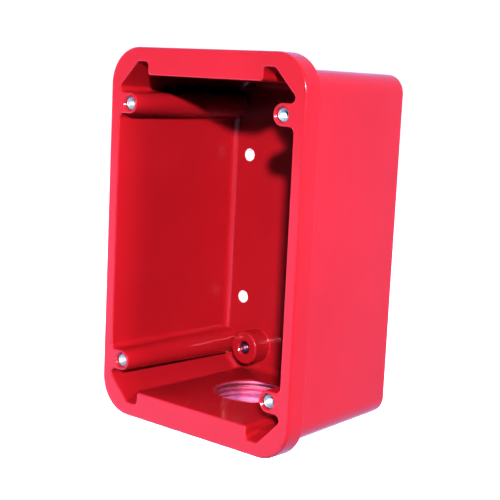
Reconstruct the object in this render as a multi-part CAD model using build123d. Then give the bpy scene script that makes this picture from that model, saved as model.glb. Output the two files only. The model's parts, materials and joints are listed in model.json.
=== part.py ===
"""Empty surface-mount back box of a manual call point: a painted die casting with thread inserts.

Frame: millimetres, +Z up. The box opens towards -Y, and the origin is the centre of the flat rear
face that stands against the wall, so a point at distance D in front of the wall has Y = -D.
"""
import os

from build123d import *

# Flange around the open front
HEIGHT = 121.0
WIDTH = 82.0
DEPTH = 55.2
FLANGE_THICKNESS = 7.0
FLANGE_CORNER = 12.0
FLANGE_EDGE = 0.9
FLANGE_BACK_EDGE = 0.5

# Body behind the flange, narrowing towards the wall so that it leaves the mould
BODY_FRONT_WIDTH = 79.2
BODY_REAR_WIDTH = 72.2
BODY_FRONT_HEIGHT = 111.8
BODY_REAR_HEIGHT = 111.0
BODY_CORNER = 6.0
BODY_REAR_EDGE = 1.2

# Cavity, with corners cut off by diagonal walls that lean inwards towards the rear
REAR_WALL = 3.3
OPENING_WIDTH = 73.6
CAVITY_FRONT_HEIGHT = 108.0
CAVITY_REAR_WIDTH = 65.6
CAVITY_REAR_HEIGHT = 104.8
DIAGONAL_FRONT = 84.8
DIAGONAL_REAR = 79.3
CAVITY_CORNER = 1.5
CAVITY_REAR_FILLET = 2.4
OPENING_EDGE = 0.5

# Raised middle of the floor and of the ceiling, between the corner channels
OPENING_HEIGHT = 103.4
PAD_REAR_HEIGHT = 101.6
PAD_HALF_WIDTH = 24.2
PAD_ROUND = 1.2

# Cover screw bosses on the side walls, growing thicker towards the rear
SCREW_SPACING_X = 64.4
SCREW_SPACING_Z = 85.0
BOSS_RADIUS = 3.4
BOSS_REAR_RADIUS = 4.6
BOSS_ROOT = 1.8
BOSS_ROOT_LAP = 0.3

# Corner pockets in the flange: the channels open out forwards
POCKET_DEPTH = 7.0
POCKET_OUTER_X = 34.0
POCKET_FOOT_Z = 50.0
POCKET_FRONT_Z = 56.1
POCKET_REAR_Z = 53.5
POCKET_ROUND = 1.2

# Thread inserts, No. 6-32, and the holes that they sit in
INSERT_RADIUS = 2.15
INSERT_BORE = 1.75
INSERT_MOUTH = 1.95
INSERT_CHAMFER = 0.2
COVER_INSERT_LENGTH = 8.0
EARTH_INSERT_LENGTH = 5.5
INSERT_SETBACK = 0.9
SINK_RADIUS = 2.75
SINK_DEPTH = 0.6
INSERT_RUNOUT = 0.6

# Round holes for the wall screws
FIXING_SPACING = 50.8
FIXING_RADIUS = 2.25

# Earth boss on the rear wall
EARTH_X = -17.7
EARTH_Z = -41.8
EARTH_RADIUS = 5.8
EARTH_HEIGHT = 7.2
EARTH_FACE = REAR_WALL + EARTH_HEIGHT
EARTH_EDGE = 0.7
EARTH_ROOT = 0.4

# Conduit entry for 3/4 in pipe through the floor, with a hub flush with the foot of the flange
CONDUIT_FROM_WALL = 24.2
CONDUIT_RADIUS = 13.25
CONDUIT_FOOT_CHAMFER = 0.6
CONDUIT_FLOOR_CHAMFER = 0.2
HUB_RADIUS = 17.5
HUB_EDGE = 1.0

QUADRANTS = [(side, level) for side in (-1, 1) for level in (-1, 1)]
SIDE_NAMES = {-1: "left", 1: "right"}
LEVEL_NAMES = {-1: "lower", 1: "upper"}


def upright(distance):
    """A vertical plane that faces the front, at the given distance from the wall."""
    return Plane.XZ.offset(distance)


def facing_wall(x, distance, z):
    """Turns a shape made along +Z so that it runs towards the wall from a point."""
    return Pos(x, -distance, z) * Rot(X=-90)


def between(distance, rear_value, front_value):
    """A size that changes evenly from the rear wall to the front, at a distance from the wall."""
    share = (distance - REAR_WALL) / (DEPTH - REAR_WALL)
    return rear_value + (front_value - rear_value) * share


def boss_radius(distance):
    return between(distance, BOSS_REAR_RADIUS, BOSS_RADIUS)


def drafted_block(rear, front, rear_size, front_size):
    """Flat-sided block between two distances from the wall, with its own width and height at each."""
    rear_width, rear_height = rear_size
    front_width, front_height = front_size
    plan = Plane.XY * Polygon(
        (-rear_width / 2, -rear),
        (rear_width / 2, -rear),
        (front_width / 2, -front),
        (-front_width / 2, -front),
        align=None,
    )
    profile = Plane.YZ * Polygon(
        (-rear, -rear_height / 2),
        (-rear, rear_height / 2),
        (-front, front_height / 2),
        (-front, -front_height / 2),
        align=None,
    )
    return extrude(plan, HEIGHT, both=True) & extrude(profile, WIDTH, both=True)


def round_block(block, corner, rear_edge):
    """Round the edges that run from front to rear, then the edges of the rear face."""
    long_edges = [edge for edge in block.edges() if edge.bounding_box().size.Y > DEPTH / 2]
    block = fillet(long_edges, corner)
    return fillet(block.faces().sort_by(Axis.Y)[-1].edges(), rear_edge)


def make_outside():
    """Flange and body as one solid block, before anything is taken out."""
    outline = upright(DEPTH - FLANGE_THICKNESS) * RectangleRounded(WIDTH, HEIGHT, FLANGE_CORNER)
    flange = extrude(outline, FLANGE_THICKNESS)
    flange = fillet(flange.faces().sort_by(Axis.Y)[0].edges(), FLANGE_EDGE)
    flange = fillet(flange.faces().sort_by(Axis.Y)[-1].edges(), FLANGE_BACK_EDGE)
    front = DEPTH - FLANGE_THICKNESS / 2
    rear_size = (BODY_REAR_WIDTH, BODY_REAR_HEIGHT)
    body = drafted_block(0, front, rear_size, (BODY_FRONT_WIDTH, BODY_FRONT_HEIGHT))
    return flange + round_block(body, BODY_CORNER, BODY_REAR_EDGE)


def in_all_quadrants(shape):
    """A shape from the upper right and its mirror images in the other three corners."""
    pair = [shape, mirror(shape, Plane.YZ)]
    return pair + [mirror(one, Plane.XY) for one in pair]


def boss_root_outline(distance, edge):
    """Small three-cornered fillet between the right wall and the upper (+1) or lower (-1) side of a boss."""
    square = Rectangle(BOSS_ROOT + BOSS_ROOT_LAP, BOSS_ROOT + BOSS_ROOT_LAP)
    middle = (BOSS_ROOT - BOSS_ROOT_LAP) / 2
    outline = Pos(-middle, edge * middle) * square
    outline -= Pos(-BOSS_ROOT, edge * BOSS_ROOT) * Circle(BOSS_ROOT)
    half_width = between(distance, CAVITY_REAR_WIDTH, OPENING_WIDTH) / 2
    return Pos(half_width, SCREW_SPACING_Z / 2 + edge * boss_radius(distance)) * outline


def make_boss():
    """Half-round rib at the upper right that carries a cover screw, from the rear wall to the front face."""
    rear = REAR_WALL / 2
    rear_radius = boss_radius(rear)
    bottom_up = (Align.CENTER, Align.CENTER, Align.MIN)
    cone = Cone(BOSS_RADIUS, rear_radius, DEPTH - rear, align=bottom_up)
    boss = facing_wall(SCREW_SPACING_X / 2, DEPTH, SCREW_SPACING_Z / 2) * cone
    profile = Polygon(
        (-rear, -rear_radius),
        (-rear, rear_radius),
        (-DEPTH, BOSS_RADIUS),
        (-DEPTH, -BOSS_RADIUS),
        align=None,
    )
    reach = (OPENING_WIDTH - SCREW_SPACING_X) / 2 + BOSS_ROOT_LAP
    web = extrude(Plane.YZ * profile, reach, dir=(1, 0, 0))
    boss += Pos(SCREW_SPACING_X / 2, 0, SCREW_SPACING_Z / 2) * web
    for edge in (-1, 1):
        ends = [upright(d) * boss_root_outline(d, edge) for d in (rear, DEPTH)]
        boss += loft([end.face() for end in ends], ruled=True)
    return boss


def make_corner_cut():
    """Block outside the diagonal wall at the upper right, whose plane leans inwards towards the rear."""
    lean = (DIAGONAL_FRONT - DIAGONAL_REAR) / (DEPTH - REAR_WALL)
    on_wall = Vector(DIAGONAL_FRONT / 2, -DEPTH, DIAGONAL_FRONT / 2)
    wall = Plane(origin=on_wall, x_dir=(1, 0, -1), z_dir=(1, lean, 1))
    return wall * Box(WIDTH, 3 * DEPTH, WIDTH, align=(Align.CENTER, Align.CENTER, Align.MIN))


def make_pocket():
    """Pocket at the upper right, which a sloping roof joins to the channel behind it."""
    profile = Plane.YZ * Polygon(
        (-DEPTH, POCKET_FOOT_Z),
        (POCKET_DEPTH - DEPTH, POCKET_FOOT_Z),
        (POCKET_DEPTH - DEPTH, POCKET_REAR_Z),
        (-DEPTH, POCKET_FRONT_Z),
        align=None,
    )
    sweep = extrude(profile, POCKET_OUTER_X - PAD_HALF_WIDTH, dir=(1, 0, 0))
    pocket = Pos(PAD_HALF_WIDTH, 0, 0) * sweep
    pocket -= make_corner_cut()
    roof = pocket.faces().sort_by(Axis.Z)[-1]
    sloping = [edge for edge in roof.edges() if edge.bounding_box().size.Y > POCKET_DEPTH / 2]
    return fillet(sloping, POCKET_ROUND)


def make_pad():
    """Solid part above the ceiling's raised middle, curved down into the rear wall."""
    level = PAD_REAR_HEIGHT / 2
    bend = REAR_WALL + CAVITY_REAR_FILLET
    outline = [
        Line((-DEPTH, HEIGHT / 2), (-DEPTH, OPENING_HEIGHT / 2)).edge(),
        Line((-DEPTH, OPENING_HEIGHT / 2), (-bend, level)).edge(),
        CenterArc((-bend, level - CAVITY_REAR_FILLET), CAVITY_REAR_FILLET, 90, -90).edge(),
        Line((-REAR_WALL, level - CAVITY_REAR_FILLET), (-REAR_WALL, HEIGHT / 2)).edge(),
        Line((-REAR_WALL, HEIGHT / 2), (-DEPTH, HEIGHT / 2)).edge(),
    ]
    pad = extrude(Plane.YZ * make_face(outline), PAD_HALF_WIDTH, both=True)
    low = [edge for edge in pad.edges() if edge.bounding_box().size.Y > DEPTH / 2]
    low = [edge for edge in low if edge.center().Z < OPENING_HEIGHT / 2]
    return fillet([edge for edge in low if abs(edge.center().X) > PAD_HALF_WIDTH / 2], PAD_ROUND)


def make_cavity():
    """Space inside the box: a drafted block with cut corners, less the pads and the four bosses."""
    rear_size = (CAVITY_REAR_WIDTH, CAVITY_REAR_HEIGHT)
    cavity = drafted_block(REAR_WALL, DEPTH, rear_size, (OPENING_WIDTH, CAVITY_FRONT_HEIGHT))
    for cut in in_all_quadrants(make_corner_cut()):
        cavity -= cut
    cavity = round_block(cavity, CAVITY_CORNER, CAVITY_REAR_FILLET)
    for pocket in in_all_quadrants(make_pocket()):
        cavity += pocket
    pad = make_pad()
    cavity -= pad
    cavity -= mirror(pad, Plane.XY)
    for boss in in_all_quadrants(make_boss()):
        cavity -= boss
    return cavity


def make_earth_boss():
    """Round boss on the rear wall, with a rounded rim and a flared root."""
    foot = EARTH_RADIUS + EARTH_ROOT
    below = -REAR_WALL / 2
    shoulder = EARTH_RADIUS - EARTH_EDGE
    outline = [
        *Polyline((0, EARTH_HEIGHT), (0, below), (foot, below), (foot, 0)).edges(),
        CenterArc((foot, EARTH_ROOT), EARTH_ROOT, 270, -90).edge(),
        Line((EARTH_RADIUS, EARTH_ROOT), (EARTH_RADIUS, EARTH_HEIGHT - EARTH_EDGE)).edge(),
        CenterArc((shoulder, EARTH_HEIGHT - EARTH_EDGE), EARTH_EDGE, 0, 90).edge(),
        Line((shoulder, EARTH_HEIGHT), (0, EARTH_HEIGHT)).edge(),
    ]
    boss = revolve(Plane.XZ * make_face(outline), Axis.Z)
    return Pos(EARTH_X, -REAR_WALL, EARTH_Z) * Rot(X=90) * boss


def make_hub():
    """Short round hub under the floor that gives the conduit thread its length."""
    height = (HEIGHT - PAD_REAR_HEIGHT) / 2 - REAR_WALL / 2
    hub = Cylinder(HUB_RADIUS, height, align=(Align.CENTER, Align.CENTER, Align.MIN))
    hub = fillet(hub.edges().group_by(Axis.Z)[0], HUB_EDGE)
    return Pos(0, -CONDUIT_FROM_WALL, -HEIGHT / 2) * hub


def make_conduit_hole():
    """Bore through floor and hub, opened out by a small chamfer at both ends."""
    floor = -between(CONDUIT_FROM_WALL, PAD_REAR_HEIGHT, OPENING_HEIGHT) / 2
    foot = -HEIGHT / 2
    outline = Polygon(
        (0, foot - CONDUIT_FOOT_CHAMFER),
        (CONDUIT_RADIUS + 2 * CONDUIT_FOOT_CHAMFER, foot - CONDUIT_FOOT_CHAMFER),
        (CONDUIT_RADIUS, foot + CONDUIT_FOOT_CHAMFER),
        (CONDUIT_RADIUS, floor - CONDUIT_FLOOR_CHAMFER),
        (CONDUIT_RADIUS + 2 * CONDUIT_FLOOR_CHAMFER, floor + CONDUIT_FLOOR_CHAMFER),
        (0, floor + CONDUIT_FLOOR_CHAMFER),
        align=None,
    )
    return Pos(0, -CONDUIT_FROM_WALL, 0) * revolve(Plane.XZ * outline, Axis.Z)


def make_insert_hole(length):
    """Countersunk mouth and seat for an insert, with a short run-out and a drilled end."""
    hole_end = INSERT_SETBACK + length + INSERT_RUNOUT
    slope = (SINK_RADIUS - INSERT_RADIUS) / SINK_DEPTH
    outline = Polygon(
        (0, -SINK_DEPTH),
        (SINK_RADIUS + slope * SINK_DEPTH, -SINK_DEPTH),
        (INSERT_RADIUS, SINK_DEPTH),
        (INSERT_RADIUS, hole_end),
        (0, hole_end + INSERT_RADIUS / 2),
        align=None,
    )
    return revolve(Plane.XZ * outline, Axis.Z)


def make_insert(length):
    """Tubular thread insert along +Z from its chamfered mouth."""
    outline = Polygon(
        (INSERT_MOUTH, 0),
        (INSERT_RADIUS, 0),
        (INSERT_RADIUS, length),
        (INSERT_BORE, length),
        (INSERT_BORE, INSERT_CHAMFER),
        align=None,
    )
    return facing_wall(0, 0, 0) * revolve(Plane.XZ * outline, Axis.Z)


def round_opening(box):
    """Round the front edge all the way round the opening, its bosses and its pockets."""
    front = box.faces().filter_by(Axis.Y).sort_by(Axis.Y)[0]
    opening = max(front.inner_wires(), key=lambda wire: wire.length)
    return fillet(opening.edges(), OPENING_EDGE)


def make_back_box():
    box = make_outside() - make_cavity()
    box += make_earth_boss()
    box += make_hub()
    box = round_opening(box)
    for side, level in QUADRANTS:
        cover_hole = make_insert_hole(COVER_INSERT_LENGTH)
        box -= facing_wall(side * SCREW_SPACING_X / 2, DEPTH, level * SCREW_SPACING_Z / 2) * cover_hole
        fixing_hole = Cylinder(FIXING_RADIUS, 3 * REAR_WALL)
        box -= facing_wall(side * FIXING_SPACING / 2, 0, level * FIXING_SPACING / 2) * fixing_hole
    box -= make_conduit_hole()
    return box - facing_wall(EARTH_X, EARTH_FACE, EARTH_Z) * make_insert_hole(EARTH_INSERT_LENGTH)


def make_nodes():
    nodes = {"back_box": make_back_box()}
    for side, level in QUADRANTS:
        name = f"{LEVEL_NAMES[level]}_{SIDE_NAMES[side]}_insert"
        place = Pos(side * SCREW_SPACING_X / 2, INSERT_SETBACK - DEPTH, level * SCREW_SPACING_Z / 2)
        nodes[name] = place * make_insert(COVER_INSERT_LENGTH)
    earth_place = Pos(EARTH_X, INSERT_SETBACK - EARTH_FACE, EARTH_Z)
    nodes["earth_insert"] = earth_place * make_insert(EARTH_INSERT_LENGTH)
    return nodes


os.makedirs("parts", exist_ok=True)
for node_name, shape in make_nodes().items():
    export_step(shape, f"parts/{node_name}.step")
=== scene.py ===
"""Looks of the call point's empty back box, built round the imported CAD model."""
import json
import math

import bmesh
import bpy
from mathutils import Matrix, Vector


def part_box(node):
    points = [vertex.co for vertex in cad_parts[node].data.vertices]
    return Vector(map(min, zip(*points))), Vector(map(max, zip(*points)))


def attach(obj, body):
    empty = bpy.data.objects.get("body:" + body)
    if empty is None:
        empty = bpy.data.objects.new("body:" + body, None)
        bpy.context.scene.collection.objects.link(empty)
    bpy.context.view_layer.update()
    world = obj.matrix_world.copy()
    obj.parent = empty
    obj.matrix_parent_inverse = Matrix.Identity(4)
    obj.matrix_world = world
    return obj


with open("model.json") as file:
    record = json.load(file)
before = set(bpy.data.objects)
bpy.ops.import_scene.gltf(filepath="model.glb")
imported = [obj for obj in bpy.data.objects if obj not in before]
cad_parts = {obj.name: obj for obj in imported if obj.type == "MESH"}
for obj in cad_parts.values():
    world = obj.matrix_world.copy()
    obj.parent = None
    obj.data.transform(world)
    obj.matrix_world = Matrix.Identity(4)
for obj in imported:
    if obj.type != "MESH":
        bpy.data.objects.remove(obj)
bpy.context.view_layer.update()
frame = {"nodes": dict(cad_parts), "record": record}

MM = 0.001
nodes = frame["nodes"]
MOUNTS = {mount["name"]: mount for mount in frame["record"]["mounts"]}

box_low, box_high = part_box("back_box")
front_y = box_low.y
mid_z = (box_low.z + box_high.z) / 2

# Camera, as it stands to the box: its distance to the aim point, and its turn, height and roll
AIM = Vector((22.62 * MM, front_y, mid_z + 1.95 * MM))
CAMERA_TURN = math.radians(41.41)
CAMERA_RISE = math.radians(8.38)
CAMERA_ROLL = math.radians(2.74)
CAMERA_DISTANCE = 356.5 * MM
SENSOR_WIDTH = 36.0
FOCAL_LENGTH = 86.39

# Fixing holes: where bare metal ends, just outside the bore and just behind the rear wall's front face
FIXING_MARGIN = 0.04
FIXING_HALF_SPACING = MOUNTS["wall_fixings"]["dims"]["spacing_x_mm"] / 2 * MM
FIXING_EDGE = (MOUNTS["wall_fixings"]["dims"]["hole_r_mm"] + FIXING_MARGIN) * MM
REAR_WALL_FACE = -3.28 * MM

# Threads: pitch, radius at the crest, and the sleeve that carries the turns
CONDUIT_PITCH = 25.4 / 14 * MM
CONDUIT_CREST = 12.15 * MM
CONDUIT_CHAMFER = 0.2 * MM
CONDUIT_PLAIN = 2.4 * MM
SCREW_PITCH = 25.4 / 32 * MM
SCREW_CREST = 1.42 * MM
SCREW_CHAMFER = 0.2 * MM
SLEEVE_PROUD = 0.03 * MM
SLEEVE_WALL = 0.2 * MM
THREAD_STEPS = 72
MERGE_DISTANCE = 0.0005 * MM
THREAD_OUTLINE = ((0.0, 0.0), (0.10, 0.0), (0.44, 1.0), (0.56, 1.0), (0.90, 0.0))

# Surroundings: white for the camera, a dimmer tinted world and a bright table for reflections
DOME_RADIUS = 4.0
WORLD_COLOR = (1.0, 1.0, 1.6, 1.0)
TABLE_REACH = 1.0
TABLE_DROP = 1 * MM
TABLE_COLOR = (2.8, 2.0, 3.3, 1.0)

# Floor: a hair under the box; its glow is painted light, slightly grey beside the box and white further out
FLOOR_GAP = 0.05 * MM
FLOOR_GREY = 0.80
FLOOR_GREY_END = 0.08
FLOOR_WHITE_START = 0.30

# Display: a gamma under 1 deepens the shadows, and the black level takes the last red out of them
CONTRAST = 0.75
BLACK_LEVEL = (0.045, 0.0, 0.0)

# Key light: its direction from the right end of the opening's top rail
RAIL_END = Vector((23.7 * MM, front_y, mid_z + 51.7 * MM))
KEY_TOWARD = Vector((0.90, -1.0, 0.372)).normalized()
KEY_DISTANCE = 0.9
KEY_SIZE = 0.04
KEY_POWER = 16.2

# Soft lights, which reflections don't show: name, place from the box's centre, size and power.
# The one behind the box lights its back, which the other lights don't reach.
SOFT_LIGHTS = (
    ("overhead", (0.1, -0.30, 0.95), (0.6, 0.4), 2.6),
    ("right_soft", (0.97, -0.05, 0.22), (0.3, 0.7), 11.7),
    ("left_soft", (-0.95, -0.32, -0.10), (0.3, 0.7), 29.0),
    ("rear_soft", (0.0, 0.90, -0.30), (0.4, 0.4), 16.0),
)


# ---------------------------------------------------------------- camera

def make_camera():
    data = bpy.data.cameras.new("camera")
    data.sensor_width = SENSOR_WIDTH
    data.lens = FOCAL_LENGTH
    data.clip_start = 0.01
    data.clip_end = 20.0
    camera = bpy.data.objects.new("camera", data)
    bpy.context.scene.collection.objects.link(camera)
    forward = Vector((
        -math.sin(CAMERA_TURN) * math.cos(CAMERA_RISE),
        math.cos(CAMERA_TURN) * math.cos(CAMERA_RISE),
        -math.sin(CAMERA_RISE),
    ))
    level_right = forward.cross(Vector((0, 0, 1))).normalized()
    level_up = level_right.cross(forward)
    right = level_right * math.cos(CAMERA_ROLL) + level_up * math.sin(CAMERA_ROLL)
    up = level_up * math.cos(CAMERA_ROLL) - level_right * math.sin(CAMERA_ROLL)
    turn = Matrix((right, up, -forward)).transposed()
    camera.matrix_world = Matrix.Translation(AIM - forward * CAMERA_DISTANCE) @ turn.to_4x4()
    bpy.context.scene.camera = camera


# ---------------------------------------------------------------- shader helpers

class Shader:
    """A material's node tree with short calls for the nodes used here."""

    def __init__(self, name):
        self.material = bpy.data.materials.new(name)
        self.material.use_nodes = True
        self.tree = self.material.node_tree
        self.tree.nodes.clear()
        self.output = self.node("ShaderNodeOutputMaterial")
        self.surface = self.node("ShaderNodeBsdfPrincipled")
        self.link(self.surface.outputs["BSDF"], self.output.inputs["Surface"])
        self.place = self.node("ShaderNodeTexCoord").outputs["Object"]

    def node(self, kind, **settings):
        made = self.tree.nodes.new(kind)
        for key, value in settings.items():
            setattr(made, key, value)
        return made

    def link(self, source, target):
        self.tree.links.new(source, target)

    def noise(self, scale, detail=2.0, roughness=0.5):
        made = self.node("ShaderNodeTexNoise")
        self.link(self.place, made.inputs["Vector"])
        made.inputs["Scale"].default_value = scale
        made.inputs["Detail"].default_value = detail
        made.inputs["Roughness"].default_value = roughness
        return made.outputs["Fac"]

    def span(self, value, low, high, to_low=0.0, to_high=1.0):
        made = self.node("ShaderNodeMapRange", clamp=True)
        self.link(value, made.inputs["Value"])
        made.inputs["From Min"].default_value = low
        made.inputs["From Max"].default_value = high
        made.inputs["To Min"].default_value = to_low
        made.inputs["To Max"].default_value = to_high
        return made.outputs["Result"]

    def mix(self, factor, first, second):
        made = self.node("ShaderNodeMix", data_type="RGBA")
        self.link(factor, made.inputs["Factor"])
        for socket, value in (("A", first), ("B", second)):
            target = next(i for i in made.inputs if i.name == socket and i.type == "RGBA")
            if isinstance(value, bpy.types.NodeSocket):
                self.link(value, target)
            else:
                target.default_value = (*value, 1.0)
        return next(o for o in made.outputs if o.type == "RGBA")

    def bump(self, height, strength, distance, below=None):
        made = self.node("ShaderNodeBump")
        made.inputs["Strength"].default_value = strength
        made.inputs["Distance"].default_value = distance
        self.link(height, made.inputs["Height"])
        if below is not None:
            self.link(below, made.inputs["Normal"])
        return made.outputs["Normal"]

    def math(self, operation, *values):
        made = self.node("ShaderNodeMath", operation=operation)
        for socket, value in zip(made.inputs, values):
            if isinstance(value, bpy.types.NodeSocket):
                self.link(value, socket)
            else:
                socket.default_value = value
        return made.outputs["Value"]

    def drilled_holes(self):
        """1 in the bores of the four fixing holes, which were drilled after painting, and 0 elsewhere."""
        split = self.node("ShaderNodeSeparateXYZ")
        self.link(self.place, split.inputs["Vector"])
        across = self.math("SUBTRACT", self.math("ABSOLUTE", split.outputs["X"]), FIXING_HALF_SPACING)
        along = self.math("SUBTRACT", self.math("ABSOLUTE", split.outputs["Z"]), FIXING_HALF_SPACING)
        squares = self.math("ADD", self.math("MULTIPLY", across, across), self.math("MULTIPLY", along, along))
        inside = self.math("LESS_THAN", squares, FIXING_EDGE ** 2)
        return self.math("MULTIPLY", inside, self.math("GREATER_THAN", split.outputs["Y"], REAR_WALL_FACE))

    def set(self, **values):
        for name, value in values.items():
            socket = self.surface.inputs[name.replace("_", " ")]
            if isinstance(value, bpy.types.NodeSocket):
                self.link(value, socket)
            else:
                socket.default_value = value


# ---------------------------------------------------------------- materials

def red_paint():
    """Glossy red stove enamel over a cast surface: soft waviness and fine orange peel."""
    s = Shader("red_paint")
    drift = s.span(s.noise(30.0, 3.0), 0.3, 0.7)
    color = s.mix(drift, (0.385, 0.0135, 0.0250), (0.415, 0.0165, 0.0300))
    bare = s.drilled_holes()
    s.set(Base_Color=s.mix(bare, color, (0.88, 0.86, 0.80)), Metallic=s.span(bare, 0.0, 1.0, 0.0, 0.3))
    s.set(Roughness=s.span(s.noise(160.0, 4.0), 0.3, 0.7, 0.16, 0.22), IOR=1.45)
    wave = s.bump(s.noise(55.0, 2.0), 0.15, 0.0005)
    s.set(Normal=s.bump(s.noise(900.0, 3.0), 0.05, 0.0001, below=wave))
    return s.material


def bright_metal():
    """Turned and tapped bushes: bright, with fine tool marks that blur what they reflect."""
    s = Shader("bright_metal")
    drift = s.span(s.noise(700.0, 3.0), 0.3, 0.7)
    s.set(Base_Color=s.mix(drift, (0.36, 0.40, 0.43), (0.46, 0.50, 0.53)))
    s.set(Metallic=0.55, Roughness=s.span(s.noise(1500.0, 3.0), 0.3, 0.7, 0.42, 0.58))
    s.set(Normal=s.bump(s.noise(3000.0, 2.0), 0.15, 0.00005))
    return s.material


def cut_aluminium_painted_red_reflection():
    """Bare thread cut into the casting, duller than the bushes and marked by the tap. Its pink tint is a
    painted reflection of the red paint round it.
    """
    s = Shader("cut_aluminium_painted_red_reflection")
    drift = s.span(s.noise(400.0, 4.0), 0.3, 0.7)
    # The pink in the base colour is a painted reflection of the surrounding red paint, not the metal's own
    # colour.
    s.set(Base_Color=s.mix(drift, (0.68, 0.25, 0.34), (0.84, 0.34, 0.45)))
    s.set(Metallic=1.0, Roughness=s.span(s.noise(900.0, 3.0), 0.3, 0.7, 0.34, 0.50))
    s.set(Normal=s.bump(s.noise(2500.0, 2.0), 0.2, 0.00006))
    return s.material


def dark_reddish_metal():
    """The earth screw's thread, in a dark, reddish metal colour, darker than the other bushes."""
    s = Shader("dark_reddish_metal")
    drift = s.span(s.noise(900.0, 3.0), 0.3, 0.7)
    # The thread's colour is made dark and reddish, darker than the other bushes.
    s.set(Base_Color=s.mix(drift, (0.10, 0.02, 0.05), (0.20, 0.06, 0.11)))
    s.set(Metallic=0.6, Roughness=s.span(s.noise(1500.0, 3.0), 0.3, 0.7, 0.30, 0.45))
    s.set(Normal=s.bump(s.noise(3000.0, 2.0), 0.15, 0.00005))
    return s.material


def glowing(name, color):
    """Surface with no colour of its own that only gives off light."""
    s = Shader(name)
    s.set(Base_Color=(0.0, 0.0, 0.0, 1.0), Emission_Color=color, Emission_Strength=1.0)
    return s.material


def pale_floor():
    """Pale floor, clear from below so that it doesn't hide the foot of the box."""
    s = Shader("pale_floor")
    s.set(Base_Color=(0.9, 0.9, 0.9, 1.0), Roughness=0.8, Emission_Color=(1.0, 1.0, 1.0, 1.0))
    away = s.node("ShaderNodeVectorMath", operation="LENGTH")
    s.link(s.place, away.inputs[0])
    # Painted light: the floor glows, weaker beside the box and at full strength further out.
    white = s.span(away.outputs["Value"], FLOOR_GREY_END, FLOOR_WHITE_START, FLOOR_GREY, 1.0)
    s.set(Emission_Strength=white)
    from_below = s.node("ShaderNodeNewGeometry").outputs["Backfacing"]
    s.set(Alpha=s.math("SUBTRACT", 1.0, from_below))
    return s.material


# ---------------------------------------------------------------- threads

def thread_column(lift, root, crest, pitch, plain, length):
    """Radius and height of the bore's points, upwards, where the helix has risen by lift of a turn."""
    points = []
    for turn in range(-1, int(length / pitch) + 2):
        for rise, height in THREAD_OUTLINE:
            along = min(max((turn + lift + rise) * pitch, plain), length)
            fade = min(1.0, (along - plain) / pitch, (length - along) / pitch)
            points.append((root - (root - crest) * height * fade, along))
    return points


def join_columns(mesh, columns):
    """Faces between each column of points and the next one round.

    Where the last column meets the first, the helix has risen a whole turn, so the rows of the thread
    are joined one outline further on.
    """
    count = len(columns[0])
    first_thread, last_thread = 2, count - 3
    for step, here in enumerate(columns):
        seam = step == THREAD_STEPS - 1
        after = columns[0] if seam else columns[step + 1]
        for row in range(count):
            pair = []
            for at in (row, (row + 1) % count):
                in_thread = first_thread <= at <= last_thread
                pair.append(min(at + len(THREAD_OUTLINE), last_thread) if seam and in_thread else at)
            corners = (here[row], after[pair[0]], after[pair[1]], here[(row + 1) % count])
            corners = list(dict.fromkeys(corners))
            if len(corners) > 2:
                mesh.faces.new(corners)


def thread_mesh(name, root, crest, pitch, length, chamfer, plain=0.0):
    """Thin sleeve along +Z with a helical thread inside and its upper mouth opened out by a chamfer."""
    mesh = bmesh.new()
    outer = root + SLEEVE_WALL
    columns = []
    for step in range(THREAD_STEPS):
        angle = 2 * math.pi * step / THREAD_STEPS
        points = [(outer, 0.0), (root, 0.0)]
        points += thread_column(step / THREAD_STEPS, root, crest, pitch, plain, length)
        points += [(root + chamfer, length + chamfer), (outer + chamfer, length + chamfer)]
        ring = []
        for radius, along in points:
            ring.append(mesh.verts.new((radius * math.cos(angle), radius * math.sin(angle), along)))
        columns.append(ring)
    join_columns(mesh, columns)
    bmesh.ops.remove_doubles(mesh, verts=mesh.verts, dist=MERGE_DISTANCE)
    bmesh.ops.recalc_face_normals(mesh, faces=mesh.faces)
    data = bpy.data.meshes.new(name)
    mesh.to_mesh(data)
    mesh.free()
    return data


def add_piece(name, data, material):
    piece = bpy.data.objects.new(name, data)
    bpy.context.scene.collection.objects.link(piece)
    data.materials.append(material)
    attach(piece, "root")
    return piece


def make_screw_thread(insert, material):
    """Thread turns in one bush, from its mouth inwards."""
    low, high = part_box(insert)
    root = MOUNTS["earth_screw"]["dims"]["r_mm"] * MM - SLEEVE_PROUD
    length = high.y - low.y - SCREW_CHAMFER
    data = thread_mesh(f"{insert}_thread", root, SCREW_CREST, SCREW_PITCH, length, SCREW_CHAMFER)
    mouth_forward = Matrix.Rotation(math.radians(90), 4, "X")
    data.transform(Matrix.Translation(((low.x + high.x) / 2, high.y, (low.z + high.z) / 2)) @ mouth_forward)
    add_piece(f"{insert}_thread", data, material)


def make_conduit_thread(material):
    """Bare thread turns in the conduit entry, above a plain stretch at its foot."""
    entry = MOUNTS["conduit_entry"]
    root = entry["dims"]["r_mm"] * MM - SLEEVE_PROUD
    length = entry["dims"]["length_mm"] * MM
    x, y, z = entry["pos_m"]
    data = thread_mesh(
        "conduit_thread", root, CONDUIT_CREST, CONDUIT_PITCH, length, CONDUIT_CHAMFER, CONDUIT_PLAIN
    )
    data.transform(Matrix.Translation((x, y, z - length / 2)))
    add_piece("conduit_thread", data, material)


# ---------------------------------------------------------------- stage

def seen_by_camera_only(thing):
    thing.visible_diffuse = False
    thing.visible_glossy = False
    thing.visible_transmission = False
    thing.visible_shadow = False


def seen_in_reflections_only(thing):
    thing.visible_camera = False
    thing.visible_diffuse = False
    thing.visible_transmission = False
    thing.visible_shadow = False


def add_to_stage(name, data, material):
    data.materials.append(material)
    thing = bpy.data.objects.new(name, data)
    bpy.context.scene.collection.objects.link(thing)
    return thing


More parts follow.
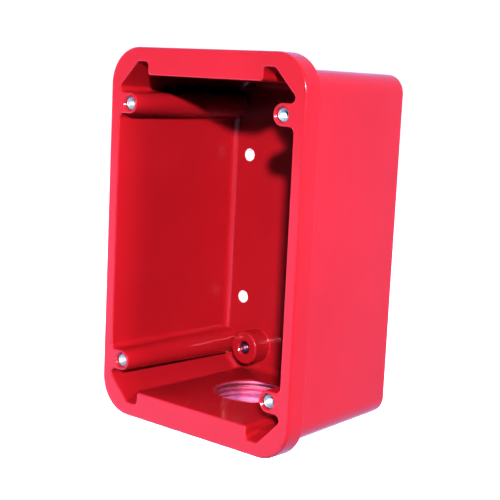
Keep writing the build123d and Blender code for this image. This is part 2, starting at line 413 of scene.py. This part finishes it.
def sheet_mesh(name, left, right, near, far):
    corners = [(left, near, 0), (right, near, 0), (right, far, 0), (left, far, 0)]
    data = bpy.data.meshes.new(name)
    data.from_pydata(corners, [], [(0, 1, 2, 3)])
    return data


def make_floor():
    data = sheet_mesh("floor", -DOME_RADIUS, DOME_RADIUS, -DOME_RADIUS, DOME_RADIUS)
    floor = add_to_stage("floor", data, pale_floor())
    floor.location.z = box_low.z - FLOOR_GAP
    seen_by_camera_only(floor)


def make_dome():
    """White surroundings that only the camera sees, so that they don't wash out the paint."""
    mesh = bmesh.new()
    bmesh.ops.create_icosphere(mesh, subdivisions=4, radius=DOME_RADIUS)
    data = bpy.data.meshes.new("dome")
    mesh.to_mesh(data)
    mesh.free()
    dome = add_to_stage("dome", data, glowing("white_surroundings", (1.0, 1.0, 1.0, 1.0)))
    seen_by_camera_only(dome)


def make_table_glow():
    """White table in front and to the left of the box, as the flange's paint reflects it."""
    data = sheet_mesh("table_glow", -TABLE_REACH, box_high.x, front_y - TABLE_REACH, front_y)
    table = add_to_stage("table_glow", data, glowing("table_glow", TABLE_COLOR))
    table.location.z = box_low.z - TABLE_DROP
    seen_in_reflections_only(table)


def make_world():
    """Tinted world that glossy surfaces mirror and that lights nothing else."""
    world = bpy.data.worlds.new("studio")
    world.use_nodes = True
    background = world.node_tree.nodes["Background"]
    background.inputs["Color"].default_value = WORLD_COLOR
    background.inputs["Strength"].default_value = 1.0
    world.cycles_visibility.diffuse = False
    bpy.context.scene.world = world


def area_light(name, place, aim, size, power):
    data = bpy.data.lights.new(name, "AREA")
    data.shape = "RECTANGLE"
    data.size, data.size_y = size
    data.energy = power
    light = bpy.data.objects.new(name, data)
    light.location = place
    light.rotation_mode = "QUATERNION"
    light.rotation_quaternion = (aim - place).to_track_quat("-Z", "Y")
    bpy.context.scene.collection.objects.link(light)
    return light


def make_lights():
    area_light("key", RAIL_END + KEY_TOWARD * KEY_DISTANCE, RAIL_END, (KEY_SIZE, KEY_SIZE), KEY_POWER)
    centre = Vector((0, front_y / 2, mid_z))
    for name, toward, size, power in SOFT_LIGHTS:
        light = area_light(name, centre + Vector(toward), centre, size, power)
        light.visible_glossy = False


def set_display():
    settings = bpy.context.scene.view_settings
    settings.view_transform = "Standard"
    settings.gamma = CONTRAST
    settings.use_curve_mapping = True
    settings.curve_mapping.black_level = BLACK_LEVEL
    settings.curve_mapping.update()


make_camera()
paint = red_paint()
metal = bright_metal()
cut = cut_aluminium_painted_red_reflection()
dark_reddish_look = dark_reddish_metal()
looks = {"back_box": paint, "earth_insert": dark_reddish_look}
for name, node in nodes.items():
    look = looks.get(name, metal)
    node.data.materials.clear()
    node.data.materials.append(look)
    if name != "back_box":
        make_screw_thread(name, look)
make_conduit_thread(cut)
make_floor()
make_dome()
make_table_glow()
make_world()
make_lights()
set_display()
